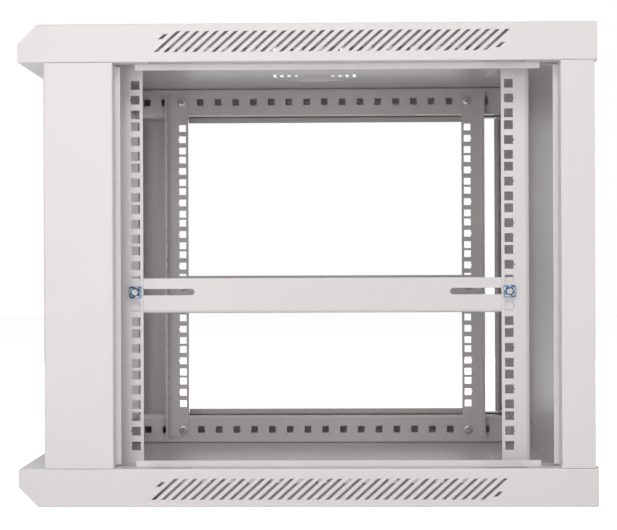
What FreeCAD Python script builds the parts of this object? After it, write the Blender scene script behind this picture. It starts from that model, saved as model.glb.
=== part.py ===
import FreeCAD, Part
import math
import os

# Wall mount rack cabinet, 9 units high, door and side panels taken off.
# X runs across the cabinet, the front looks to -Y, the wall is at +Y, Z is up.
# The origin is in the middle of the base. Sizes are millimetres.

V = FreeCAD.Vector
os.makedirs("parts", exist_ok=True)

# Case
WIDTH = 600.0
DEPTH = 600.0
HEIGHT = 501.0
SHEET = 1.2                 # steel of the covers, columns and rear panel
BEND = 0.8                  # inner radius of the folds in that sheet

# Top and bottom covers
COVER_HEIGHT = 40.0
COVER_CORNER = 1.8          # outer radius of the covers' folds
CHAMFER = 21.0              # slope at the front edge
SIDE_FOLD = 20.0            # fold along each side opening
FRONT_FOLD = 50.0           # fold behind the front edge
REAR_TAB = 30.0             # depth of the folds at the rear corners
REAR_DROP = 1.0             # rear skirt reaches this far below the folds
LIP = 6.0                   # turned-down edge of the side fold
LIP_BACK = 21.0             # lip starts this far behind the front column
LIP_FRONT = 19.0            # and ends this far before the rear panel
TAB_SLOT_LENGTH = 44.0      # slots for the tabs of the side panels
TAB_SLOT_INSET = 6.0
TAB_SLOT_EDGE = 3.0         # metal left between a slot and the fold's edge
TAB_SLOT_FRONT = 59.0       # from the front column to the middle of the first slot
TAB_SLOT_REAR = 57.0        # from the middle of the last slot to the rear panel
RELIEF = 1.6                # notch where the folds meet at a rear corner

# Slanted vents in the side walls of the covers
VENT_COUNT = 35
VENT_PITCH = 10.0
VENT_HEIGHT = 21.6
VENT_SLANT = 24.0
VENT_WIDTH = 4.4
VENT_DROP = 18.8            # from the top of the cover to the vents' middle
VENT_MID = 24.0             # middle of the row, along the cabinet
VENT_SHIFT = 2.0            # the two walls' rows are shifted apart by this
VENT_SHORT = 5.2            # height of the short vent at each end of the row

# Fan grilles in the top skin
FAN_INSET = 184.0           # from the cabinet's side to the middle of a grille
FAN_Y = 3.0
FAN_RINGS = 4
FAN_RADIUS = 54.2
FAN_PITCH = 9.6
FAN_SLOT = 4.4
FAN_BRIDGE = 4.0            # metal between the arcs of one ring

# Cable entry, a plate held by small bridges at its corners
ENTRY_LENGTH = 300.0
ENTRY_WIDTH = 50.0
ENTRY_FROM_BACK = 19.0
ENTRY_CUT = 1.0
ENTRY_BRIDGE = 4.0

# Front columns
COLUMN_SIDE = 72.0
COLUMN_TO_RAIL = 2.0        # the front face stops this far outside the rack rail
COLUMN_RETURN = 25.0
COLUMN_BACK = 27.0          # depth kept free for the door
EDGE_FOLD = 20.0            # fold along the side opening
EDGE_LIP = 5.0
PLATE_GAP = 0.8             # slit between an end plate and the next face

# Rear panel
PANEL_GAP = 1.5             # from the panel to the covers' rear skirts
PANEL_SIDE = 35.3
PANEL_TAB = 26.0            # tabs that are welded to the covers, at the four corners
PANEL_TAB_WIDTH = 95.0
PANEL_TRIM = 1.5            # the panel's edge is this much shorter between tabs
WALL_HOLE_R = 5.0
WALL_HOLE_INSET_X = 60.0
WALL_HOLE_INSET_Z = 80.5

# Depth bars, channels that carry the rack rails
BAR_SHEET = 1.5
BAR_BEND = 1.0
BAR_FLANGE = 16.0
BAR_GAP = 0.3               # above the bar, to the cover's skin
BAR_FRONT_GAP = 4.0         # from the cover's sloping edge to the bar
BAR_REAR_GAP = 2.5
BAR_HOLE_PITCH = 25.0
BAR_HOLES_FORWARD = 10
BAR_HOLES_BACK = 9

# Rack rails
RAIL_SHEET = 2.0
RAIL_BEND = 2.5
RAIL_INSET = 56.0           # from the cabinet's side to the side leg
RAIL_FACE = 19.0            # leg that carries the equipment, 450 mm from the other side's
RAIL_SIDE = 30.5
RAIL_END_GAP = 10.5         # from the rail's end to the cabinet's top or bottom
RAIL_MID_Y = 15.0
RAIL_HOLE_STEPS = 8         # bar holes from the middle to a rail
RAIL_HOLE_TO_BEND = 22.5
UNIT = 44.45                # height of one rack unit, with three holes
HOLE = 9.5
HOLE_INSET = 7.55           # from the edge of the rail's face to its holes' middle
NOTCH = 1.6                 # mark beside the middle hole of each unit

# Support rails
SUPPORT_SHEET = 1.5
SUPPORT_BEND = 1.5
SUPPORT_HEIGHT = 37.3
SUPPORT_FLANGE = 40.0
SUPPORT_END_GAP = 10.5      # from a rack rail's face to the support's end
SUPPORT_UNIT = 4            # fastened in the top hole of this unit
SUPPORT_HOLE_DROP = 14.7    # from the support's upper edge to its slots
SUPPORT_CORNER = 3.0
SLOT_WIDTH = 7.0
SLOT_LENGTH = 66.5

# Fasteners, M6
SHANK_R = 2.95
BORE_R = 3.05
SCREW_HOLE = 6.8
SCREW_HEAD_R = 5.9
SCREW_HEAD = 3.8
SCREW_LENGTH = 14.0
CAGE_SHEET = 0.65
CAGE_WIDE = 11.5            # across the two walls
CAGE_STRIP = 9.2            # width of the strip that is bent to a cage
CAGE_DEEP = 5.5
NUT_LONG = 12.5
NUT_HEIGHT = 4.0
PLAY = 0.1                  # between a nut and its cage, and an ear and its hole

# Flats that stand for a round: few, so that the many small parts stay light
BEND_FLATS = 2              # in each fold
ARC_FLATS = 3               # in each arc of the fan grilles
END_FLATS = 4               # at each end of a long slot
SHANK_SIDES = 6
HEAD_SIDES = 8

# Levels and places worked out from the sizes
HALF = WIDTH / 2
FRONT = -DEPTH / 2
BACK = DEPTH / 2
FOLD_Z = HEIGHT - COVER_HEIGHT
MID_Z = HEIGHT / 2
RAIL_OUTER = HALF - RAIL_INSET
RAIL_INNER = RAIL_OUTER - RAIL_SHEET
RAIL_TOE = RAIL_OUTER - RAIL_FACE
COLUMN_X = RAIL_OUTER + COLUMN_TO_RAIL
COLUMN_Y0 = FRONT + COLUMN_BACK
COLUMN_Y1 = COLUMN_Y0 + COLUMN_SIDE
PANEL_Y = BACK - SHEET - PANEL_GAP
PANEL_Y0 = PANEL_Y - PANEL_SIDE
BAR_Z0 = FOLD_Z + SHEET
BAR_Z1 = HEIGHT - SHEET - BAR_GAP
BAR_HOLE_Z = (BAR_Z0 + BAR_Z1) / 2
UNITS = int(2 * (BAR_Z0 - MID_Z) / UNIT)    # as many as fit between the bars
RAIL_HOLE_Y = RAIL_MID_Y - RAIL_HOLE_STEPS * BAR_HOLE_PITCH
RAIL_FACE_Y = RAIL_HOLE_Y - RAIL_HOLE_TO_BEND
SUPPORT_Z = MID_Z + (SUPPORT_UNIT - UNITS / 2) * UNIT - UNIT / 7


# Shapes that several pieces use

def box(x0, x1, y0, y1, z0, z1):
    return Part.makeBox(x1 - x0, y1 - y0, z1 - z0, V(x0, y0, z0))


def turned(centre, radius, start, sweep, flats):
    """Points on an arc in plan, angles in degrees."""
    angles = [math.radians(start + sweep * k / flats) for k in range(flats + 1)]
    return [V(centre.x + radius * math.cos(a), centre.y + radius * math.sin(a), 0) for a in angles]


def rounded(points, radii):
    """The points, with a fold of the given radius in place of each inner one."""
    path = [points[0]]
    for i in range(1, len(points) - 1):
        a = (points[i] - points[i - 1]).normalize()
        b = (points[i + 1] - points[i]).normalize()
        turn = math.degrees(a.getAngle(b))
        hand = 1 if a.cross(b).z > 0 else -1
        start = points[i] - a * (radii[i] * math.tan(math.radians(turn / 2)))
        centre = start + V(-a.y, a.x, 0) * (hand * radii[i])
        first = math.degrees(math.atan2(start.y - centre.y, start.x - centre.x))
        path += turned(centre, radii[i], first, hand * turn, BEND_FLATS)
    return path + [points[-1]]


def filled(points):
    return Part.Face(Part.makePolygon(points + points[:1]))


def folded(outline, sheet, bend, side):
    """Section of a folded sheet. The outline is one face of the sheet, and the
    sheet lies on its left (side 1) or right (side -1)."""
    points = [V(x, y, 0) for x, y in outline]
    along = [(q - p).normalize() for p, q in zip(points, points[1:])]
    across = [V(-d.y, d.x, 0) * side for d in along]
    other = [points[0] + across[0] * sheet]
    near = [0]
    far = [0]
    for i in range(1, len(points) - 1):
        a, b = across[i - 1], across[i]
        other.append(points[i] + (a + b) * (sheet / (1 + a.dot(b))))
        inside = along[i - 1].cross(along[i]).z * side > 0
        near.append(bend + sheet if inside else bend)
        far.append(bend if inside else bend + sheet)
    other.append(points[-1] + across[-1] * sheet)
    return filled(rounded(points, near) + rounded(other, far)[::-1])


def upright(face, z0, z1):
    """A section drawn in plan, drawn out from z0 to z1."""
    face.translate(V(0, 0, z0))
    return face.extrude(V(0, 0, z1 - z0))


def lengthwise(face, y0, y1):
    """A section drawn across the cabinet, drawn out from y0 to y1."""
    face.rotate(V(0, 0, 0), V(1, 0, 0), 90)
    face.translate(V(0, y0, 0))
    return face.extrude(V(0, y1 - y0, 0))


def crosswise(face, x0, x1):
    """A section of (y, z) points, drawn out from x0 to x1."""
    face.rotate(V(0, 0, 0), V(1, 1, 1), 120)
    face.translate(V(x0, 0, 0))
    return face.extrude(V(x1 - x0, 0, 0))


def prism_x(points, x0, x1):
    return crosswise(filled([V(y, z, 0) for y, z in points]), x0, x1)


def many_sided(sides, radius, x0, x1):
    """A prism round the X axis, its corners on the given radius."""
    return crosswise(filled(turned(V(0, 0, 0), radius, 0, 360, sides)[:-1]), x0, x1)


def other_side(shape):
    return shape.mirror(V(0, 0, 0), V(1, 0, 0))


def upside_down(shape):
    return shape.mirror(V(0, 0, MID_Z), V(0, 0, 1))


def at_rear(shape):
    return shape.mirror(V(0, RAIL_MID_Y, 0), V(0, 1, 0))


def placed(shape, x, y, z):
    copy = shape.copy()
    copy.translate(V(x, y, z))
    return copy


# Covers

def closed_section(corners):
    """Outline that starts and ends in the middle of its last side, its corners folded."""
    middle = (V(*corners[0], 0) + V(*corners[-1], 0)) * 0.5
    points = [middle] + [V(*corner, 0) for corner in corners] + [middle]
    return filled(rounded(points, [COVER_CORNER] * len(points))[:-1])


def cover_tray():
    """Hollow form with the sloping front edge and rounded folds, closed below."""
    side = [(FRONT, FOLD_Z), (FRONT, HEIGHT - CHAMFER), (FRONT + CHAMFER, HEIGHT),
            (BACK, HEIGHT), (BACK, FOLD_Z)]
    across = [(-HALF, FOLD_Z), (-HALF, HEIGHT), (HALF, HEIGHT), (HALF, FOLD_Z)]
    outer = crosswise(closed_section(side), -HALF, HALF)
    outer = outer.common(lengthwise(closed_section(across), FRONT, BACK))
    slope = SHEET * math.tan(math.radians(22.5))
    x = HALF - SHEET
    hollow = prism_x([(FRONT + SHEET, FOLD_Z + SHEET), (FRONT + SHEET, HEIGHT - CHAMFER - slope),
                      (FRONT + CHAMFER + slope, HEIGHT - SHEET), (BACK - SHEET, HEIGHT - SHEET),
                      (BACK - SHEET, FOLD_Z + SHEET)], -x, x)
    skirt = box(COVER_CORNER - HALF, HALF - COVER_CORNER, BACK - SHEET, BACK,
                FOLD_Z - REAR_DROP, FOLD_Z + COVER_CORNER)
    return outer.cut(hollow).fuse(skirt)


def cover_opening():
    """What is left open between the folds on the underside."""
    z0, z1 = FOLD_Z - REAR_DROP - 1, FOLD_Z + SHEET
    inner = HALF - SIDE_FOLD
    tab = HALF - PANEL_TAB_WIDTH
    front_y = FRONT + FRONT_FOLD
    column_y = COLUMN_Y1 - EDGE_LIP
    tab_y = BACK - REAR_TAB
    return [box(-inner, inner, column_y, tab_y, z0, z1),
            box(-COLUMN_X, COLUMN_X, front_y, column_y, z0, z1),
            box(-tab, tab, tab_y, BACK - SHEET, z0, z1)]


def side_lips():
    """Turned-down edge of the side fold, which a side panel hooks behind."""
    x = HALF - SIDE_FOLD
    lip = box(x, x + SHEET, COLUMN_Y1 + LIP_BACK, PANEL_Y0 - LIP_FRONT,
              FOLD_Z - LIP, FOLD_Z + SHEET)
    return [lip, other_side(lip)]


def tab_slots():
    x0 = HALF - SIDE_FOLD + TAB_SLOT_EDGE
    x1 = HALF - TAB_SLOT_INSET
    half = TAB_SLOT_LENGTH / 2
    slots = [box(x0, x1, y - half, y + half, FOLD_Z - 1, FOLD_Z + SHEET + 1)
             for y in (COLUMN_Y1 + TAB_SLOT_FRONT, PANEL_Y0 - TAB_SLOT_REAR)]
    return slots + [other_side(slot) for slot in slots]


def slanted_vent(mid_y, low, high):
    """One vent of the right-hand wall, between two heights of its slanted line."""
    z = HEIGHT - VENT_DROP
    lean = VENT_SLANT / VENT_HEIGHT
    half = VENT_WIDTH / 2
    points = [(mid_y + low * lean - half, z + low), (mid_y + low * lean + half, z + low),
              (mid_y + high * lean + half, z + high), (mid_y + high * lean - half, z + high)]
    return prism_x(points, HALF - 2 * SHEET, HALF + 1)


def vent_row(mid_y):
    half = VENT_HEIGHT / 2
    first = mid_y - (VENT_COUNT - 1) / 2 * VENT_PITCH
    row = [slanted_vent(first + i * VENT_PITCH, -half, half) for i in range(VENT_COUNT)]
    row.append(slanted_vent(first - VENT_PITCH, VENT_SHORT / 2, VENT_SHORT * 1.5))
    row.append(slanted_vent(first + VENT_COUNT * VENT_PITCH, -VENT_SHORT * 1.5, -VENT_SHORT / 2))
    return row


def side_vents():
    """Both rows lean to the right for a person who looks at the wall from outside."""
    right = vent_row(VENT_MID + VENT_SHIFT)
    left = vent_row(-VENT_MID + VENT_SHIFT)
    for vent in left:
        vent.rotate(V(0, 0, 0), V(0, 0, 1), 180)
    return right + left


def fan_arc(r):
    """One slot of a ring: its ends keep half a bridge's width from the diagonals."""
    edges = []
    for radius in (r - FAN_SLOT / 2, r + FAN_SLOT / 2):
        reach = 45 - math.degrees(math.asin(FAN_BRIDGE / 2 / radius))
        edges.append(turned(V(0, 0, 0), radius, -reach, 2 * reach, ARC_FLATS))
    return upright(filled(edges[0] + edges[1][::-1]), HEIGHT - 2 * SHEET, HEIGHT + 1)


def fan_grille(x):
    slots = []
    for ring in range(FAN_RINGS):
        slot = fan_arc(FAN_RADIUS - ring * FAN_PITCH)
        for quarter in range(4):
            copy = placed(slot, x, FAN_Y, 0)
            copy.rotate(V(x, FAN_Y, 0), V(0, 0, 1), quarter * 90)
            slots.append(copy)
    return slots


def cable_entry():
    """Cut line of the plate that is broken out for cables, left whole at its corners."""
    z0, z1 = HEIGHT - 2 * SHEET, HEIGHT + 1
    y1 = BACK - ENTRY_FROM_BACK
    y0 = y1 - ENTRY_WIDTH
    x = ENTRY_LENGTH / 2
    gap, cut = ENTRY_BRIDGE, ENTRY_CUT
    cuts = [box(gap - x, x - gap, y, y + cut, z0, z1) for y in (y0, y1 - cut)]
    return cuts + [box(side, side + cut, y0 + gap, y1 - gap, z0, z1) for side in (-x, x - cut)]


def corner_reliefs():
    """Notches where three folds meet, at the rear corners."""
    cuts = []
    for x in (-HALF, HALF - RELIEF):
        for z in (FOLD_Z - REAR_DROP, HEIGHT - RELIEF):
            cuts.append(box(x, x + RELIEF, BACK - RELIEF, BACK, z, z + RELIEF))
    return cuts


def cover(with_fans):
    tray = cover_tray().cut(cover_opening())
    tray = tray.fuse(side_lips())
    cuts = tab_slots() + side_vents() + cable_entry() + corner_reliefs()
    if with_fans:
        cuts += fan_grille(HALF - FAN_INSET) + fan_grille(FAN_INSET - HALF)
    return tray.cut(cuts).removeSplitter()


def bottom_cover():
    """The same folded sheet turned over, without the fan grilles."""
    shape = cover(False)
    shape.rotate(V(0, 0, MID_Z), V(0, 1, 0), 180)
    return shape


# Uprights of the case

def front_column():
    """Right-hand column: a channel open to the inside, with plates at its ends."""
    outline = [(COLUMN_X, COLUMN_Y0 + COLUMN_RETURN), (COLUMN_X, COLUMN_Y0), (HALF, COLUMN_Y0),
               (HALF, COLUMN_Y1), (HALF - EDGE_FOLD, COLUMN_Y1),
               (HALF - EDGE_FOLD, COLUMN_Y1 + EDGE_LIP)]
    column = upright(folded(outline, SHEET, BEND, 1), COVER_HEIGHT, FOLD_Z)
    # The side faces stop short of the end plates, which are folded from the front face.
    slit = SHEET + PLATE_GAP
    for z in (COVER_HEIGHT, FOLD_Z - slit):
        column = column.cut(box(COLUMN_X - 1, HALF + 1, COLUMN_Y0 + 2 * SHEET + BEND,
                                COLUMN_Y1 + EDGE_LIP + 1, z, z + slit))
    plates = [box(COLUMN_X + SHEET + PLATE_GAP, HALF - SHEET - PLATE_GAP, COLUMN_Y0 + SHEET / 2,
                  COLUMN_Y1 - PLATE_GAP, z, z + SHEET) for z in (COVER_HEIGHT, FOLD_Z - SHEET)]
    return column.fuse(plates).removeSplitter()


def rear_panel():
    """One sheet for the back, its two sides and their folds, with tabs at the corners."""
    fold = HALF - EDGE_FOLD
    right = [(HALF, PANEL_Y), (HALF, PANEL_Y0), (fold, PANEL_Y0), (fold, PANEL_Y0 - EDGE_LIP)]
    left = [(-x, y) for x, y in reversed(right)]
    panel = upright(folded(left + right, SHEET, BEND, -1), COVER_HEIGHT, FOLD_Z)
    slit = SHEET + PLATE_GAP
    tab = HALF - PANEL_TAB_WIDTH
    cuts = []
    for z, trim in ((COVER_HEIGHT, COVER_HEIGHT), (FOLD_Z - slit, FOLD_Z - PANEL_TRIM)):
        cuts.append(box(-HALF - 1, HALF + 1, PANEL_Y0 - EDGE_LIP - 1,
                        PANEL_Y - 2 * SHEET - BEND, z, z + slit))
        cuts.append(box(-tab, tab, PANEL_Y - 2 * SHEET, PANEL_Y + 1, trim, trim + PANEL_TRIM))
    tabs = []
    for z in (COVER_HEIGHT, FOLD_Z - SHEET):
        piece = box(tab + PLATE_GAP, HALF - SHEET - PLATE_GAP, PANEL_Y - PANEL_TAB,
                    PANEL_Y - SHEET / 2, z, z + SHEET)
        tabs += [piece, other_side(piece)]
    return panel.cut(cuts).fuse(tabs).cut(wall_holes()).removeSplitter()


def wall_holes():
    """Four round holes that take the bolts in the wall."""
    x = HALF - WALL_HOLE_INSET_X
    through = V(0, 3 * SHEET, 0)
    return [Part.makeCylinder(WALL_HOLE_R, through.y, V(side, PANEL_Y - 2 * SHEET, z), through)
            for side in (-x, x) for z in (WALL_HOLE_INSET_Z, HEIGHT - WALL_HOLE_INSET_Z)]


def depth_bar():
    """Right-hand upper bar: a channel with its web to the inside and a row of square holes."""
    edge = RAIL_OUTER + BAR_FLANGE
    outline = [(edge, BAR_Z0), (RAIL_OUTER, BAR_Z0), (RAIL_OUTER, BAR_Z1), (edge, BAR_Z1)]
    bar = lengthwise(folded(outline, BAR_SHEET, BAR_BEND, -1),
                     FRONT + CHAMFER + BAR_FRONT_GAP, BACK - BAR_REAR_GAP)
    half = HOLE / 2
    steps = range(-BAR_HOLES_FORWARD, BAR_HOLES_BACK + 1)
    return bar.cut([box(RAIL_OUTER - 1, RAIL_OUTER + BAR_SHEET + 1, y - half, y + half,
                        BAR_HOLE_Z - half, BAR_HOLE_Z + half)
                    for y in (RAIL_MID_Y + step * BAR_HOLE_PITCH for step in steps)])


# Rack rails and support rails

def unit_holes():
    """Heights of the three holes of each unit, from the top down."""
    top = MID_Z + UNITS / 2 * UNIT
    tops = [top - unit * UNIT for unit in range(UNITS)]
    return [(z - UNIT / 7, z - UNIT / 2, z - UNIT * 6 / 7) for z in tops]


def rack_rail():
    """Front right rail: an angle with the standard rack holes in both legs."""
    outline = [(RAIL_OUTER, RAIL_FACE_Y + RAIL_SIDE), (RAIL_OUTER, RAIL_FACE_Y),
               (RAIL_TOE, RAIL_FACE_Y)]
    rail = upright(folded(outline, RAIL_SHEET, RAIL_BEND, -1), RAIL_END_GAP, HEIGHT - RAIL_END_GAP)
    half = HOLE / 2
    x = RAIL_TOE + HOLE_INSET
    cuts = []
    for unit in unit_holes():
        for z in unit:
            cuts.append(box(RAIL_INNER - 1, RAIL_OUTER + 1, RAIL_HOLE_Y - half,
                            RAIL_HOLE_Y + half, z - half, z + half))
            cuts.append(box(x - half, x + half, RAIL_FACE_Y - 1, RAIL_FACE_Y + RAIL_SHEET + 1,
                            z - half, z + half))
        edge = RAIL_HOLE_Y - half
        cuts.append(prism_x([(edge + 0.1, unit[1] - NOTCH), (edge + 0.1, unit[1] + NOTCH),
                             (edge - NOTCH, unit[1])], RAIL_INNER - 1, RAIL_OUTER + 1))
    half = SCREW_HOLE / 2
    return rail.cut(cuts + [box(RAIL_INNER - 1, RAIL_OUTER + 1, RAIL_HOLE_Y - half,
                                RAIL_HOLE_Y + half, z - half, z + half)
                            for z in (BAR_HOLE_Z, HEIGHT - BAR_HOLE_Z)])


def long_slot():
    """Slot with round ends, from the first screw's place along the support."""
    r = SLOT_WIDTH / 2
    ends = turned(V(RAIL_HOLE_Y, SUPPORT_Z, 0), r, 90, 180, END_FLATS)
    ends += turned(V(RAIL_HOLE_Y + SLOT_LENGTH - SLOT_WIDTH, SUPPORT_Z, 0), r, -90, 180, END_FLATS)
    return crosswise(filled(ends), RAIL_INNER - SUPPORT_SHEET - 1, RAIL_INNER + 1)


def support_rail():
    """Right-hand support: an angle that bridges the rack rails, slotted at both ends."""
    z1 = SUPPORT_Z + SUPPORT_HOLE_DROP
    z0 = z1 - SUPPORT_HEIGHT
    y0 = RAIL_FACE_Y + SUPPORT_END_GAP
    outline = [(RAIL_INNER, z1), (RAIL_INNER, z0), (RAIL_INNER - SUPPORT_FLANGE, z0)]
    rail = lengthwise(folded(outline, SUPPORT_SHEET, SUPPORT_BEND, -1), y0, 2 * RAIL_MID_Y - y0)
    corner = prism_x([(y0 - 1, z1 - SUPPORT_CORNER), (y0, z1 - SUPPORT_CORNER),
                      (y0 + SUPPORT_CORNER, z1), (y0 + SUPPORT_CORNER, z1 + 1),
                      (y0 - 1, z1 + 1)], RAIL_INNER - SUPPORT_SHEET - 1, RAIL_INNER + 1)
    cuts = [long_slot(), corner]
    return rail.cut(cuts + [at_rear(cut) for cut in cuts])


# Fasteners. Each is drawn on the X axis, its joint plane at x = 0, pointing to +X.

def pan_screw():
    head = many_sided(HEAD_SIDES, SCREW_HEAD_R, -SCREW_HEAD, 0)
    return head.fuse(many_sided(SHANK_SIDES, SHANK_R, -SCREW_HEAD / 2, SCREW_LENGTH))


def cage_outline(hole_depth, inset):
    """Half of the cage's section: the ear in the hole, the foot, the wall and the back."""
    ear, wide = HOLE / 2 - PLAY - inset, CAGE_WIDE / 2 - inset
    return [V(-hole_depth, ear, 0), V(inset, ear, 0), V(inset, wide, 0),
            V(CAGE_DEEP - inset, wide, 0)]


def with_mirror(points):
    return points + [V(p.x, -p.y, 0) for p in points[::-1]]


def nut_cage():
    """Strip of spring steel bent round a square nut, with two ears that grip the hole."""
    path = with_mirror(cage_outline(RAIL_SHEET, 0))
    path += with_mirror(cage_outline(RAIL_SHEET, CAGE_SHEET))[::-1]
    strip = upright(filled(path), -CAGE_STRIP / 2, CAGE_STRIP / 2)
    half = SCREW_HOLE / 2
    return strip.cut(box(CAGE_DEEP - 2 * CAGE_SHEET, CAGE_DEEP + 1, -half, half, -half, half))


def square_nut():
    y = CAGE_WIDE / 2 - CAGE_SHEET - PLAY
    x = CAGE_SHEET + PLAY
    nut = box(x, x + NUT_HEIGHT, -y, y, -NUT_LONG / 2, NUT_LONG / 2)
    return nut.cut(many_sided(SHANK_SIDES, BORE_R, 0, CAGE_DEEP))


def cage_nut():
    """A hidden nut with its cage, drawn as one: the block, and the neck that fills the hole."""
    block = upright(filled(with_mirror(cage_outline(BAR_SHEET, 0))),
                    -CAGE_STRIP / 2, CAGE_STRIP / 2)
    return block.cut(many_sided(SHANK_SIDES, BORE_R, -BAR_SHEET - 1, CAGE_DEEP + 1))


def both_sides(shapes):
    return Part.makeCompound(shapes + [other_side(shape) for shape in shapes])


def rail_joints(shape, x):
    """A fastener at each end of each rack rail, where it meets a depth bar."""
    front = [placed(shape, x, RAIL_HOLE_Y, z) for z in (BAR_HOLE_Z, HEIGHT - BAR_HOLE_Z)]
    return both_sides(front + [at_rear(s) for s in front])


def support_joints(shape, x):
    """A fastener where each support rail crosses a rack rail."""
    front = placed(shape, x, RAIL_HOLE_Y, SUPPORT_Z)
    return both_sides([front, at_rear(front)])


# Nodes

def pairs(name, shape):
    return {name + "_right": shape, name + "_left": other_side(shape)}


def nodes():
    bar = depth_bar()
    rail = rack_rail()
    made = {"top_cover": cover(True), "bottom_cover": bottom_cover(), "rear_panel": rear_panel()}
    made.update(pairs("front_column", front_column()))
    made.update(pairs("depth_bar_top", bar))
    made.update(pairs("depth_bar_bottom", upside_down(bar)))
    made.update(pairs("rail_front", rail))
    made.update(pairs("rail_rear", at_rear(rail)))
    made.update(pairs("support_rail", support_rail()))
    made["rail_screws"] = rail_joints(pan_screw(), RAIL_INNER)
    made["rail_cage_nuts"] = rail_joints(cage_nut(), RAIL_OUTER + BAR_SHEET)
    made["support_screws"] = support_joints(pan_screw(), RAIL_INNER - SUPPORT_SHEET)
    made["support_nut_cages"] = support_joints(nut_cage(), RAIL_OUTER)
    made["support_nuts"] = support_joints(square_nut(), RAIL_OUTER)
    return made


for name, shape in nodes().items():
    if not shape.isValid():
        raise ValueError(name + " isn't a valid shape")
    print(name, len(shape.Solids), "solids", round(shape.Volume / 1000, 2), "cm3",
          [round(v, 1) for v in (shape.BoundBox.XMin, shape.BoundBox.XMax, shape.BoundBox.YMin,
                                 shape.BoundBox.YMax, shape.BoundBox.ZMin, shape.BoundBox.ZMax)])
    shape.exportStep("parts/" + name + ".step")
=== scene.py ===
import math

import bmesh
import bpy
from mathutils import Matrix, Vector


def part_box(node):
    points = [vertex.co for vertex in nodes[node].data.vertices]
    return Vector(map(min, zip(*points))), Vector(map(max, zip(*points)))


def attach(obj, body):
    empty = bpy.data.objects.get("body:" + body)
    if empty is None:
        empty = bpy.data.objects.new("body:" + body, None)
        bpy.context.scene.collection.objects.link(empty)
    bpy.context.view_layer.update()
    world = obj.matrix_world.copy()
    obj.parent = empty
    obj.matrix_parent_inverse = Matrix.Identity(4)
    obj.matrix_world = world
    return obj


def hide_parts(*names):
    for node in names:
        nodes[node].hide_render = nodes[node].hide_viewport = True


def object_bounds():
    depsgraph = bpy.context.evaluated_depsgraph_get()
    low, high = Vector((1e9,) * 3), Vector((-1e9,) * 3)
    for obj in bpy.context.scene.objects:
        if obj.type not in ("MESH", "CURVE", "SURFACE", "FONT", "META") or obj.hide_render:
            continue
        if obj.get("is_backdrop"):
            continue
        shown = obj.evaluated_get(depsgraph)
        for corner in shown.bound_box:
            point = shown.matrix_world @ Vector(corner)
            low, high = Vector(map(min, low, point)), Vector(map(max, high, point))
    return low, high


# Wall mount rack cabinet, its door and side panels taken off. Metres, in the frame of the solids.

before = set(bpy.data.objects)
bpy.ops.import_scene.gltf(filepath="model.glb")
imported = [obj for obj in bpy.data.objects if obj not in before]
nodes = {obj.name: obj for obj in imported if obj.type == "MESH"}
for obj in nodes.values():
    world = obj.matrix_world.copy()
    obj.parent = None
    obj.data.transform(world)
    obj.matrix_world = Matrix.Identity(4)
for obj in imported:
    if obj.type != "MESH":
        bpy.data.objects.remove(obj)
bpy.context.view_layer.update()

# Case and rails. Folded steel sheet, sprayed with light grey polyester powder and baked: covers,
# columns, rear panel, depth bars, rack rails and support rails all come from the same booth.
COAT_HEX = "D3D0D0"
COAT_DUST_HEX = "CECBCB"
CLOUD = 0.11                # slow change of tone over a sheet
ORANGE_PEEL = 0.0016        # the coat's real waves are about 1 mm, drawn coarser so that they show
PEEL_HIGH = 0.0004
GRAIN = 0.0006              # the powder's real grain is under 0.1 mm, drawn coarser to show
GRAIN_HIGH = 0.00012


def linear(hex_colour):
    """sRGB hex to the linear colour that a shader takes."""
    parts = [int(hex_colour[i:i + 2], 16) / 255 for i in (0, 2, 4)]
    return [c / 12.92 if c <= 0.04045 else ((c + 0.055) / 1.055) ** 2.4 for c in parts] + [1]


def add(tree, kind, settings=(), links=()):
    """A node with its settings, by property or socket name, and links into its sockets."""
    node = tree.nodes.new(kind)
    for name, value in dict(settings).items():
        if isinstance(name, str) and hasattr(node, name):
            setattr(node, name, value)
        else:
            node.inputs[name].default_value = value
    for socket, source in dict(links).items():
        tree.links.new(source, node.inputs[socket])
    return node


def new_material(name):
    """An empty material and its tree, with the output node and Object coordinates."""
    material = bpy.data.materials.new(name)
    material.use_nodes = True
    tree = material.node_tree
    tree.nodes.clear()
    place = add(tree, "ShaderNodeTexCoord").outputs["Object"]
    return material, tree, place


def light_grey_powder_coat():
    """Powder coat on steel: satin, with the fine waves of orange peel and a dry grain."""
    material, tree, place = new_material("light_grey_powder_coat")
    cloud = add(tree, "ShaderNodeTexNoise", {"Scale": 1 / CLOUD, "Detail": 2.0}, {"Vector": place})
    peel = add(tree, "ShaderNodeTexNoise", {"Scale": 1 / ORANGE_PEEL, "Detail": 1.0},
               {"Vector": place})
    grain = add(tree, "ShaderNodeTexNoise", {"Scale": 1 / GRAIN, "Detail": 3.0},
                {"Vector": place})
    tone = add(tree, "ShaderNodeMix", {"data_type": "RGBA", 6: linear(COAT_HEX),
                                       7: linear(COAT_DUST_HEX)}, {0: cloud.outputs["Fac"]})
    rough = add(tree, "ShaderNodeMapRange", {"To Min": 0.28, "To Max": 0.38},
                {"Value": grain.outputs["Fac"]})
    waves = add(tree, "ShaderNodeBump", {"Strength": 0.10, "Distance": PEEL_HIGH},
                {"Height": peel.outputs["Fac"]})
    bumps = add(tree, "ShaderNodeBump", {"Strength": 0.12, "Distance": GRAIN_HIGH},
                {"Height": grain.outputs["Fac"], "Normal": waves.outputs["Normal"]})
    shader = add(tree, "ShaderNodeBsdfPrincipled", {"IOR": 1.5},
                 {"Base Color": tone.outputs[2], "Roughness": rough.outputs["Result"],
                  "Normal": bumps.outputs["Normal"]})
    add(tree, "ShaderNodeOutputMaterial", links={"Surface": shader.outputs["BSDF"]})
    return material


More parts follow.
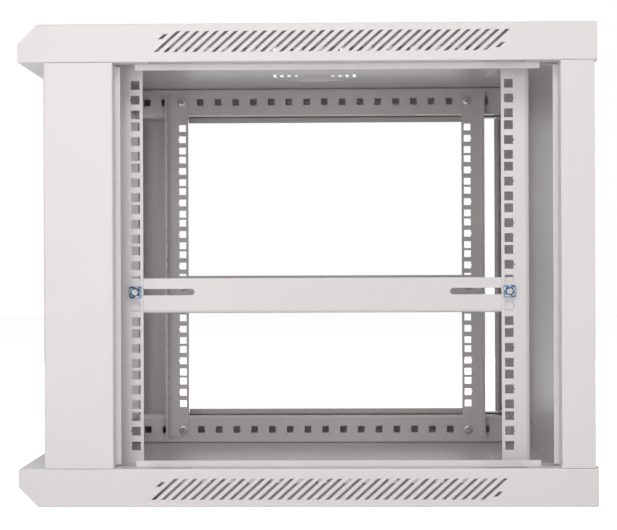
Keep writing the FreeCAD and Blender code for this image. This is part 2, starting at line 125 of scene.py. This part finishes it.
SHEETS = ["top_cover", "bottom_cover", "rear_panel"]
for side in ("right", "left"):
    SHEETS += ["front_column_" + side, "depth_bar_top_" + side, "depth_bar_bottom_" + side,
               "rail_front_" + side, "rail_rear_" + side, "support_rail_" + side]
coat = light_grey_powder_coat()
for name in SHEETS:
    nodes[name].data.materials.clear()
    nodes[name].data.materials.append(coat)

# Strips behind the vents. Thin folded strips, spot-welded under the upper flange of each depth bar
# (turned over below). Their leg stands behind the vents and keeps the bars' square holes dark.
STRIP_SHEET = 0.0012
STRIP_TO_WALL = 0.0200      # from the cover's side to the leg
STRIP_LEG = 0.0190
STRIP_INSET = 0.004         # from the bar's inner face to the strip's edge
STRIP_END = 0.003           # each strip ends this far before the bar's end
BAR_SHEET = 0.0015


def vent_strips():
    """All four strips: one folded section along the bar, then its copies, mirrored in Z and X."""
    low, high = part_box("depth_bar_top_right")
    top = high.z - BAR_SHEET
    inner, leg = low.x + STRIP_INSET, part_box("top_cover")[1].x - STRIP_TO_WALL
    section = [(inner, top), (leg, top), (leg, top - STRIP_LEG),
               (leg - STRIP_SHEET, top - STRIP_LEG), (leg - STRIP_SHEET, top - STRIP_SHEET),
               (inner, top - STRIP_SHEET)]
    bm = bmesh.new()
    face = bm.faces.new([bm.verts.new((x, low.y + STRIP_END, z)) for x, z in section])
    grown = bmesh.ops.extrude_face_region(bm, geom=[face], use_keep_orig=True)["geom"]
    bmesh.ops.translate(bm, vec=(0, high.y - low.y - 2 * STRIP_END, 0),
                        verts=[v for v in grown if isinstance(v, bmesh.types.BMVert)])
    corner = Vector((leg, 0, top))
    fold = [e for e in bm.edges if all((v.co.xz - corner.xz).length < 1e-6 for v in e.verts)]
    bmesh.ops.bevel(bm, geom=fold, offset=STRIP_SHEET, offset_type="OFFSET", segments=3,
                    profile=0.5, affect="EDGES", material=-1)
    # mirrored at the cabinet's middle height, and then both at its middle plane
    for axis, middle in ((2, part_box("top_cover")[1].z / 2), (0, 0)):
        mirror = Matrix.Identity(4)
        mirror[axis][axis] = -1
        mirror[axis][3] = 2 * middle
        copy = bmesh.ops.duplicate(bm, geom=bm.verts[:] + bm.edges[:] + bm.faces[:])["geom"]
        bmesh.ops.transform(bm, matrix=mirror,
                            verts=[v for v in copy if isinstance(v, bmesh.types.BMVert)])
    bmesh.ops.recalc_face_normals(bm, faces=bm.faces)
    mesh = bpy.data.meshes.new("vent_strips")
    bm.to_mesh(mesh)
    bm.free()
    mesh.materials.append(coat)
    strips = bpy.data.objects.new("vent_strips", mesh)
    bpy.context.scene.collection.objects.link(strips)
    return strips


strips = vent_strips()
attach(strips, "root")

# Seams at the upper and lower ends of the columns' and the rear panel's side faces. The faces stop
# short of the end plates there: the slits are welded up, ground flush and sprayed over.
SEAM_HIGH = 0.0018
SEAM_SLIT = 0.0002          # dark line that is left between a seam and the cover
SEAM_END = 0.003            # a seam starts this far behind the outer fold
SIDE_SHEET = 0.0012
LIP_REACH = 0.0050          # the lip behind each edge fold, which has no seam
FOLD_WIDE = 0.0200


def seams():
    """Beads along the side faces and edge folds of columns and rear panel, on both sides."""
    panel_low, panel_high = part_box("rear_panel")
    column_low, column_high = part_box("front_column_right")
    wall, level = column_high.x, column_high.z
    column_back, panel_front = column_high.y - LIP_REACH, panel_low.y + LIP_REACH
    runs = []
    for y0, y1, fold_y in ((column_low.y + SEAM_END, column_back, column_back),
                           (panel_front, panel_high.y - SEAM_END, panel_front + SIDE_SHEET)):
        runs += [(wall - SIDE_SHEET, wall, y0, y1),
                 (wall - FOLD_WIDE, wall - SIDE_SHEET, fold_y - SIDE_SHEET, fold_y)]
    bm = bmesh.new()
    for x0, x1, y0, y1 in runs:
        for side in (-1, 1):
            for z in (level - SEAM_SLIT - SEAM_HIGH / 2, column_low.z + SEAM_SLIT + SEAM_HIGH / 2):
                bead = bmesh.ops.create_cube(bm, size=1)["verts"]
                bmesh.ops.scale(bm, vec=(x1 - x0, y1 - y0, SEAM_HIGH), verts=bead)
                bmesh.ops.translate(bm, vec=(side * (x0 + x1) / 2, (y0 + y1) / 2, z), verts=bead)
    mesh = bpy.data.meshes.new("seam_welds")
    bm.to_mesh(mesh)
    bm.free()
    mesh.materials.append(coat)
    beads = bpy.data.objects.new("seam_welds", mesh)
    bpy.context.scene.collection.objects.link(beads)
    return beads


welds = seams()
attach(welds, "root")

# Screws of the rack rails and support rails. M6 pan head screws of zinc plated steel with a cross
# recess. The rails' go through rail and depth bar, the supports' through slot and rail.
ZINC_HEX = "D6D7D8"
HEAD_R = 0.0059
HEAD_HIGH = 0.0038
HEAD_FLAT = 0.62            # share of the head's radius that is flat on top
CROWN = 0.0016              # height of the head's rounded part
SHANK_R = 0.00295
THREAD_DEPTH = 0.0006
THREAD_PITCH = 0.001
SCREW_LONG = 0.014
TIP_EDGE = 0.0006           # bevel at the tip
TIP_STEP = 0.0001           # the tip is this much thinner than the thread
TIP_HOLE_R = 0.0014         # pointed hole in the middle of the end
TIP_HOLE_DEEP = 0.0050
RECESS_WIDE = 0.0013        # width of the cross recess's arms
RECESS_REACH = 0.0030
RECESS_DEEP = 0.0022
RECESS_TAPER = 0.55         # size of the recess's floor beside its mouth
BLOOM = 1 / 900             # 1.1 mm: the plating's real grains are far finer than this
BLOOM_HIGH = 0.00005
SMOOTH_BELOW = math.radians(35)     # edges that bend by less than this are shaded smooth


def lathe(bm, profile, steps):
    """A profile of (x, r) points, closed on the X axis, turned all the way round it."""
    points = [bm.verts.new((x, r, 0)) for x, r in profile]
    edges = [bm.edges.new(pair) for pair in zip(points, points[1:])]
    bmesh.ops.spin(bm, geom=points + edges, cent=(0, 0, 0), axis=(1, 0, 0), dvec=(0, 0, 0),
                   angle=2 * math.pi, steps=steps, use_merge=True, use_duplicate=False)
    bmesh.ops.remove_doubles(bm, verts=bm.verts, dist=1e-7)
    bmesh.ops.recalc_face_normals(bm, faces=bm.faces)


def thread_profile(start, end, radius, depth):
    """Rings for the 1 mm pitch, whose slope would be too small to see."""
    turns = int(abs(end - start) / THREAD_PITCH)
    step = (end - start) / turns
    points = []
    for k in range(turns):
        points += [(start + (k + 0.1) * step, radius - depth),
                   (start + (k + 0.5) * step, radius)]
    return points + [(end, radius - depth)]


def cross_recess(bm, x):
    """Cuts the cross into the middle of the head's flat top, a disc of faces at x."""
    top = [f for f in bm.faces if all(abs(v.co.x - x) < 1e-6 for v in f.verts)]
    bmesh.ops.delete(bm, geom=top, context="FACES")
    rim = [e for e in bm.edges if e.is_boundary]
    made = bmesh.ops.create_grid(bm, x_segments=3, y_segments=3, size=1)
    for v in made["verts"]:
        y = math.copysign(RECESS_REACH if abs(v.co.x) > 0.5 else RECESS_WIDE / 2, v.co.x)
        z = math.copysign(RECESS_REACH if abs(v.co.y) > 0.5 else RECESS_WIDE / 2, v.co.y)
        v.co = Vector((x, y, z))
    grid = {f for v in made["verts"] for f in v.link_faces}
    corners = [f for f in grid if min(abs(c) for c in f.calc_center_median().yz) > RECESS_WIDE / 2]
    bmesh.ops.delete(bm, geom=corners, context="FACES")
    cross = [f for f in grid if f.is_valid]
    mouth = [e for f in cross for e in f.edges if e.is_boundary]
    pit = bmesh.ops.extrude_face_region(bm, geom=cross)
    floor = [v for v in pit["geom"] if isinstance(v, bmesh.types.BMVert)]
    bmesh.ops.delete(bm, geom=[f for f in cross if f.is_valid], context="FACES_ONLY")
    bmesh.ops.scale(bm, vec=(1, RECESS_TAPER, RECESS_TAPER), verts=floor,
                    space=Matrix.Translation((-x, 0, 0)))
    bmesh.ops.translate(bm, vec=(RECESS_DEEP, 0, 0), verts=floor)
    bmesh.ops.triangle_fill(bm, use_beauty=True, edges=rim + [e for e in mouth if e.is_valid],
                            normal=(-1, 0, 0))
    bmesh.ops.recalc_face_normals(bm, faces=bm.faces)


def pan_screw():
    """One screw on the X axis, its head's underside at x = 0, pointing to +X."""
    bm = bmesh.new()
    crown = [(-HEAD_HIGH, 0), (-HEAD_HIGH, HEAD_R * HEAD_FLAT)]
    steps = 6
    for k in range(1, steps + 1):
        a = k / steps * math.pi / 2
        crown.append((-HEAD_HIGH + CROWN * (1 - math.cos(a)),
                      HEAD_R * (HEAD_FLAT + (1 - HEAD_FLAT) * math.sin(a))))
    tip = [(SCREW_LONG - TIP_EDGE, SHANK_R - TIP_STEP), (SCREW_LONG, SHANK_R - TIP_EDGE),
           (SCREW_LONG, TIP_HOLE_R), (SCREW_LONG - TIP_HOLE_DEEP, 0)]
    thread = thread_profile(0, SCREW_LONG - THREAD_PITCH, SHANK_R, THREAD_DEPTH)
    lathe(bm, crown + [(0, HEAD_R), (0, SHANK_R - THREAD_DEPTH)] + thread[1:] + tip, steps=32)
    cross_recess(bm, -HEAD_HIGH)
    return bm


def bright_zinc():
    """Zinc plated steel: a bright metal with a fine dull bloom, which scatters its mirror."""
    material, tree, place = new_material("bright_zinc_plate")
    bloom = add(tree, "ShaderNodeTexNoise", {"Scale": 1 / BLOOM, "Detail": 3.0},
                {"Vector": place})
    rough = add(tree, "ShaderNodeMapRange", {"To Min": 0.16, "To Max": 0.34},
                {"Value": bloom.outputs["Fac"]})
    bump = add(tree, "ShaderNodeBump", {"Strength": 0.15, "Distance": BLOOM_HIGH},
               {"Height": bloom.outputs["Fac"]})
    shader = add(tree, "ShaderNodeBsdfPrincipled",
                 {"Metallic": 1.0, "Base Color": linear(ZINC_HEX)},
                 {"Roughness": rough.outputs["Result"], "Normal": bump.outputs["Normal"]})
    add(tree, "ShaderNodeOutputMaterial", links={"Surface": shader.outputs["BSDF"]})
    return material


def places(node, x):
    """Where a node's fasteners sit: at x on both sides, in line with its solids in Y and Z."""
    mesh = bmesh.new()
    mesh.from_mesh(nodes[node].data)
    bmesh.ops.remove_doubles(mesh, verts=mesh.verts, dist=1e-6)
    left = set(mesh.verts)
    centres = []
    while left:
        island = [left.pop()]
        for v in island:
            near = [e.other_vert(v) for e in v.link_edges]
            island += [n for n in near if n in left]
            left -= set(near)
        lo = Vector([min(v.co[i] for v in island) for i in range(3)])
        hi = Vector([max(v.co[i] for v in island) for i in range(3)])
        centre = (lo + hi) / 2
        centres.append((math.copysign(x, centre.x), centre.y, centre.z))
    mesh.free()
    return sorted(centres)


def assemble(name, source, centres, material):
    """One object of copies at the given places, mirrored on the left so that they point out."""
    whole = bmesh.new()
    single = bpy.data.meshes.new(name + "_one")
    source.to_mesh(single)
    source.free()
    for centre in centres:
        first = len(whole.verts)
        whole.from_mesh(single)
        whole.verts.ensure_lookup_table()
        verts = whole.verts[first:]
        if centre[0] < 0:
            bmesh.ops.rotate(whole, verts=verts, cent=(0, 0, 0),
                             matrix=Matrix.Rotation(math.pi, 3, "Z"))
        bmesh.ops.translate(whole, verts=verts, vec=centre)
    mesh = bpy.data.meshes.new(name)
    whole.to_mesh(mesh)
    whole.free()
    bpy.data.meshes.remove(single)
    mesh.materials.append(material)
    mesh.shade_smooth()
    mesh.set_sharp_from_angle(angle=SMOOTH_BELOW)
    piece = bpy.data.objects.new(name, mesh)
    bpy.context.scene.collection.objects.link(piece)
    return piece


zinc = bright_zinc()
rail_inner = min(abs(v.co.x) for v in nodes["rail_screws"].data.vertices) + HEAD_HIGH
support_inner = min(abs(v.co.x) for v in nodes["support_screws"].data.vertices) + HEAD_HIGH
for name, x in (("rail_screws", rail_inner), ("support_screws", support_inner)):
    screws = assemble(name + "_zinc", pan_screw(), places(name, x), zinc)
    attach(screws, "root")
    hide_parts(name)

# Square nuts in the cages. Zinc plated steel with an M6 thread. Each is stamped and tapped, and
# lies loose in its cage by 0.1 mm.
NUT_SIDE = 0.0100
NUT_LONG = 0.0120
NUT_HIGH = 0.0040
NUT_EDGE = 0.0004           # broken edges
NUT_PLAY = 0.0001
BORE_R = 0.00305
BORE_THREAD = 0.0003        # depth of the bore's thread, about half a real one's


def square_nut(x0):
    """One nut on the X axis from x0, its bore a threaded tube, its corners chamfered."""
    bm = bmesh.new()
    bmesh.ops.create_cube(bm, size=1)
    bmesh.ops.scale(bm, vec=(NUT_HIGH, NUT_LONG, NUT_SIDE), verts=bm.verts)
    bmesh.ops.bevel(bm, geom=list(bm.edges), offset=NUT_EDGE, segments=1, profile=0.5,
                    affect="EDGES", material=-1)
    bm.normal_update()
    ends = [f for f in bm.faces if abs(f.normal.x) > 0.99]
    bmesh.ops.delete(bm, geom=ends, context="FACES_ONLY")
    rims = [[e for e in bm.edges if e.is_boundary and e.verts[0].co.x * s > 0] for s in (-1, 1)]
    profile = thread_profile(-NUT_HIGH / 2, NUT_HIGH / 2, BORE_R + BORE_THREAD, BORE_THREAD)
    points = [bm.verts.new((x, r, 0)) for x, r in profile]
    edges = [bm.edges.new(pair) for pair in zip(points, points[1:])]
    bmesh.ops.spin(bm, geom=points + edges, cent=(0, 0, 0), axis=(1, 0, 0), dvec=(0, 0, 0),
                   angle=2 * math.pi, steps=24, use_merge=True, use_duplicate=False)
    for s, rim in zip((-1, 1), rims):
        mouth = [e for e in bm.edges if e.is_boundary and e not in rim
                 and e.verts[0].co.x * s > 0]
        bmesh.ops.triangle_fill(bm, use_beauty=True, edges=rim + mouth, normal=(s, 0, 0))
    bmesh.ops.recalc_face_normals(bm, faces=bm.faces)
    bmesh.ops.translate(bm, vec=(x0 + NUT_HIGH / 2, 0, 0), verts=bm.verts)
    return bm


CAGE_SHEET = 0.00065
RAIL_SHEET = 0.0020
bar_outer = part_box("depth_bar_top_right")[0].x + BAR_SHEET
rail_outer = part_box("rail_front_right")[1].x
for name, node, x in (("rail_nuts_zinc", "rail_cage_nuts", bar_outer),
                      ("support_nuts_zinc", "support_nuts", rail_outer)):
    nuts = assemble(name, square_nut(CAGE_SHEET + NUT_PLAY), places(node, x), zinc)
    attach(nuts, "root")
    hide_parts(node)

# Cages of the nuts. Spring steel strip, stamped and bent round the nut, then zinc plated and blue
# passivated. Two ears spring into the square hole, and the back has a hole for the screw.
BLUE_HEX = "4A6BA3"
PALE_BLUE_HEX = "B4CBDA"
CAGE_HIGH = 0.0120
CAGE_WIDE = 0.0117
CAGE_DEEP = 0.0055
EAR_WIDE = 0.0070
EAR_MOUTH = 0.0093          # across both ears
BACK_HOLE_R = 0.0036
FILM = 1 / 280              # 3.6 mm: patches of one thickness of film, and so of one blue
SCRATCH = 1 / 1500          # 0.7 mm: rubbed marks, really finer than this


def nut_cage(hole_depth):
    """One cage on the X axis: a bent strip with a round hole in its back, and two ears."""
    t = CAGE_SHEET
    bm = bmesh.new()
    half = [(t / 2, EAR_MOUTH / 2 - t / 2), (t / 2, CAGE_HIGH / 2 - t / 2),
            (CAGE_DEEP - t / 2, CAGE_HIGH / 2 - t / 2)]
    line = half + [(x, -z) for x, z in reversed(half)]
    verts = [bm.verts.new((x, -CAGE_WIDE / 2, z)) for x, z in line]
    edges = [bm.edges.new(pair) for pair in zip(verts, verts[1:])]
    made = bmesh.ops.extrude_edge_only(bm, edges=edges)["geom"]
    ends = [v for v in made if isinstance(v, bmesh.types.BMVert)]
    bmesh.ops.translate(bm, vec=(0, CAGE_WIDE, 0), verts=ends)
    feet = [e for e in bm.edges if all(abs(v.co.z) < EAR_MOUTH / 2 and v.co.x < t for v in e.verts)]
    cut = bmesh.ops.subdivide_edges(bm, edges=feet, cuts=2)["geom_inner"]
    for v in cut:
        if isinstance(v, bmesh.types.BMVert):
            v.co.y = math.copysign(EAR_WIDE / 2, v.co.y)
    roots = [e for e in bm.edges if all(abs(v.co.y) < EAR_WIDE / 2 + 1e-6 for v in e.verts)]
    made = bmesh.ops.extrude_edge_only(bm, edges=roots)["geom"]
    tips = [v for v in made if isinstance(v, bmesh.types.BMVert)]
    bmesh.ops.translate(bm, vec=(-hole_depth - t / 2, 0, 0), verts=tips)
    back = [f for f in bm.faces if all(v.co.x > CAGE_DEEP - t for v in f.verts)]
    rim = list({e for f in back for e in f.edges})
    bmesh.ops.delete(bm, geom=back, context="FACES_ONLY")
    hole = bmesh.ops.create_circle(bm, segments=24, radius=BACK_HOLE_R)["verts"]
    bmesh.ops.rotate(bm, verts=hole, cent=(0, 0, 0), matrix=Matrix.Rotation(math.pi / 2, 3, "Y"))
    bmesh.ops.translate(bm, vec=(CAGE_DEEP - t / 2, 0, 0), verts=hole)
    ring = list({e for v in hole for e in v.link_edges})
    bmesh.ops.triangle_fill(bm, use_beauty=True, edges=rim + ring, normal=(1, 0, 0))
    bmesh.ops.recalc_face_normals(bm, faces=bm.faces)
    return bm


def blue_passivation():
    """Thick blue passivation on spring steel: the film's thickness drifts, and its blue with it."""
    material, tree, place = new_material("blue_passivated_spring_steel")
    film = add(tree, "ShaderNodeTexNoise", {"Scale": 1 / FILM, "Detail": 3.0}, {"Vector": place})
    ramp = add(tree, "ShaderNodeValToRGB", links={"Fac": film.outputs["Fac"]})
    ramp.color_ramp.elements[0].position = 0.38
    ramp.color_ramp.elements[0].color = linear(BLUE_HEX)
    ramp.color_ramp.elements[1].position = 0.66
    ramp.color_ramp.elements[1].color = linear(PALE_BLUE_HEX)
    scratch = add(tree, "ShaderNodeTexNoise", {"Scale": 1 / SCRATCH}, {"Vector": place})
    rough = add(tree, "ShaderNodeMapRange", {"To Min": 0.28, "To Max": 0.44},
                {"Value": scratch.outputs["Fac"]})
    shader = add(tree, "ShaderNodeBsdfPrincipled", {"Metallic": 1.0},
                 {"Base Color": ramp.outputs["Color"], "Roughness": rough.outputs["Result"]})
    add(tree, "ShaderNodeOutputMaterial", links={"Surface": shader.outputs["BSDF"]})
    return material


blue = blue_passivation()
for name, node, x, depth in (("rail_cages_blue", "rail_cage_nuts", bar_outer, BAR_SHEET),
                             ("support_cages_blue", "support_nut_cages", rail_outer, RAIL_SHEET)):
    cages = assemble(name, nut_cage(depth), places(node, x), blue)
    wall = cages.modifiers.new("sheet", "SOLIDIFY")
    wall.thickness = CAGE_SHEET
    wall.offset = 0
    wall.use_even_offset = True
    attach(cages, "root")
    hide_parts(node)

# Floor and light. A pale floor that shows as the white background, a soft box on each side of the
# camera, two above, one on each other side and overhead, and a little light from the world.
FLOOR_HEX = "E9E9E8"
FLOOR_GLOW = 0.93           # seen but not lighting, so that the floor is white with a shadow
FLOOR_REACH = 6.0
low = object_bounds()[0]
bm = bmesh.new()
bmesh.ops.create_grid(bm, x_segments=1, y_segments=1, size=FLOOR_REACH)
bmesh.ops.translate(bm, vec=(0, 0, low.z), verts=bm.verts)
floor_mesh = bpy.data.meshes.new("floor")
bm.to_mesh(floor_mesh)
bm.free()
floor = bpy.data.objects.new("floor", floor_mesh)
bpy.context.scene.collection.objects.link(floor)
floor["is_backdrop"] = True
paint, tree, place = new_material("pale_floor_paint")
rays = add(tree, "ShaderNodeLightPath")
seen = add(tree, "ShaderNodeMath", {"operation": "MAXIMUM"},
           {0: rays.outputs["Is Camera Ray"], 1: rays.outputs["Is Glossy Ray"]})
matt = add(tree, "ShaderNodeBsdfDiffuse", {"Color": linear(FLOOR_HEX)})
glow = add(tree, "ShaderNodeEmission", {"Color": (1, 1, 1, 1), "Strength": FLOOR_GLOW})
lit = add(tree, "ShaderNodeAddShader", links={0: matt.outputs[0], 1: glow.outputs[0]})
shown = add(tree, "ShaderNodeMixShader", links={0: seen.outputs[0], 1: matt.outputs[0],
                                                2: lit.outputs[0]})
add(tree, "ShaderNodeOutputMaterial", links={"Surface": shown.outputs[0]})
floor_mesh.materials.append(paint)

WORLD_TINT = (0.93, 0.97, 1, 1)
WORLD_FILL = 0.05
world = bpy.data.worlds.new("studio")
bpy.context.scene.world = world
world.use_nodes = True
tree = world.node_tree
tree.nodes.clear()
rays = add(tree, "ShaderNodeLightPath")
seen = add(tree, "ShaderNodeMath", {"operation": "MAXIMUM"},
           {0: rays.outputs["Is Camera Ray"], 1: rays.outputs["Is Glossy Ray"]})
seen = add(tree, "ShaderNodeMath", {"operation": "MAXIMUM"},
           {0: seen.outputs[0], 1: rays.outputs["Is Transmission Ray"]})
fill = add(tree, "ShaderNodeBackground", {"Color": WORLD_TINT, "Strength": WORLD_FILL})
white = add(tree, "ShaderNodeBackground", {"Color": (1, 1, 1, 1), "Strength": 1.0})
shown = add(tree, "ShaderNodeMixShader", links={0: seen.outputs[0], 1: fill.outputs[0],
                                                2: white.outputs[0]})
add(tree, "ShaderNodeOutputWorld", links={"Surface": shown.outputs[0]})


def soft_box(name, place, target, size, power, tint, mirrored):
    """A lamp behind a rectangle of white cloth. Shiny pieces reflect it only if mirrored."""
    data = bpy.data.lights.new(name, "AREA")
    data.shape = "RECTANGLE"
    data.size, data.size_y = size
    data.energy = power
    data.color = tint
    lamp = bpy.data.objects.new(name, data)
    lamp.location = place
    lamp.rotation_euler = (Vector(target) - Vector(place)).to_track_quat("-Z", "Y").to_euler()
    lamp.visible_glossy = mirrored
    lamp.visible_camera = False
    bpy.context.scene.collection.objects.link(lamp)


CLOTH = (1, 0.98, 0.98)             # tint of most boxes
for name, place, target, size, power, tint, mirrored in (
        ("left_box", (1.45, -0.45, 0.35), (0, -0.3, 0.25), (0.6, 0.8), 6.5,
         (1, 0.97, 0.975), False),
        ("right_box", (1.45, 0.50, 0.35), (0, 0.3, 0.25), (0.6, 0.8), 4.0, (1, 0.99, 0.99), False),
        ("high_box", (1.4, 0.1, 1.3), (0.2, 0, 0.25), (0.9, 0.6), 8.8, CLOTH, True),
        ("high_left_box", (1.2, -0.9, 1.3), (0.2, -0.2, 0.25), (0.7, 0.7), 2.5,
         (1, 0.95, 0.955), True),
        ("front_box", (0.1, -2.2, 0.45), (0, 0, 0.25), (1.2, 0.8), 4.0, CLOTH, False),
        ("rear_box", (0.2, 2.1, 0.45), (0, 0.3, 0.25), (1.2, 0.8), 18.0, CLOTH, False),
        ("far_box", (-2.1, 0, 0.45), (0, 0, 0.25), (1.4, 0.8), 10.0, CLOTH, False),
        ("top_box", (-0.1, 0, 2.2), (0, 0, 0.5), (1.2, 1.2), 7.0, CLOTH, False)):
    soft_box(name, place, target, size, power, tint, mirrored)

# Camera, level with the middle of the cabinet and square to its right side, as in the photograph.
# Its place, angles and focal length come from a fit to the rack rails.
CAMERA_AT = Vector((1.803, 0.0288, 0.248))
YAW, PITCH, ROLL = 0.0181, 0.0016, -0.0038      # radians
IMAGE_WIDE, FOCAL = 617, 1455                   # both in pixels
data = bpy.data.cameras.new("camera")
data.sensor_width = 36
data.lens = data.sensor_width * FOCAL / IMAGE_WIDE
camera = bpy.data.objects.new("camera", data)
bpy.context.scene.collection.objects.link(camera)
forward = Vector((-1, 0, 0)) * math.cos(YAW) - Vector((0, 1, 0)) * math.sin(YAW)
right = Vector((0, 1, 0)) * math.cos(YAW) + Vector((-1, 0, 0)) * math.sin(YAW)
ahead = forward * math.cos(PITCH) + Vector((0, 0, 1)) * math.sin(PITCH)
up = Vector((0, 0, 1)) * math.cos(PITCH) - forward * math.sin(PITCH)
turned_right = right * math.cos(ROLL) + up * math.sin(ROLL)
turned_up = up * math.cos(ROLL) - right * math.sin(ROLL)
camera.matrix_world = (Matrix.Translation(CAMERA_AT)
                       @ Matrix((turned_right, turned_up, -ahead)).transposed().to_4x4())
bpy.context.scene.camera = camera

bpy.context.scene.view_settings.view_transform = "Standard"
shown = [list(corner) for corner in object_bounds()]
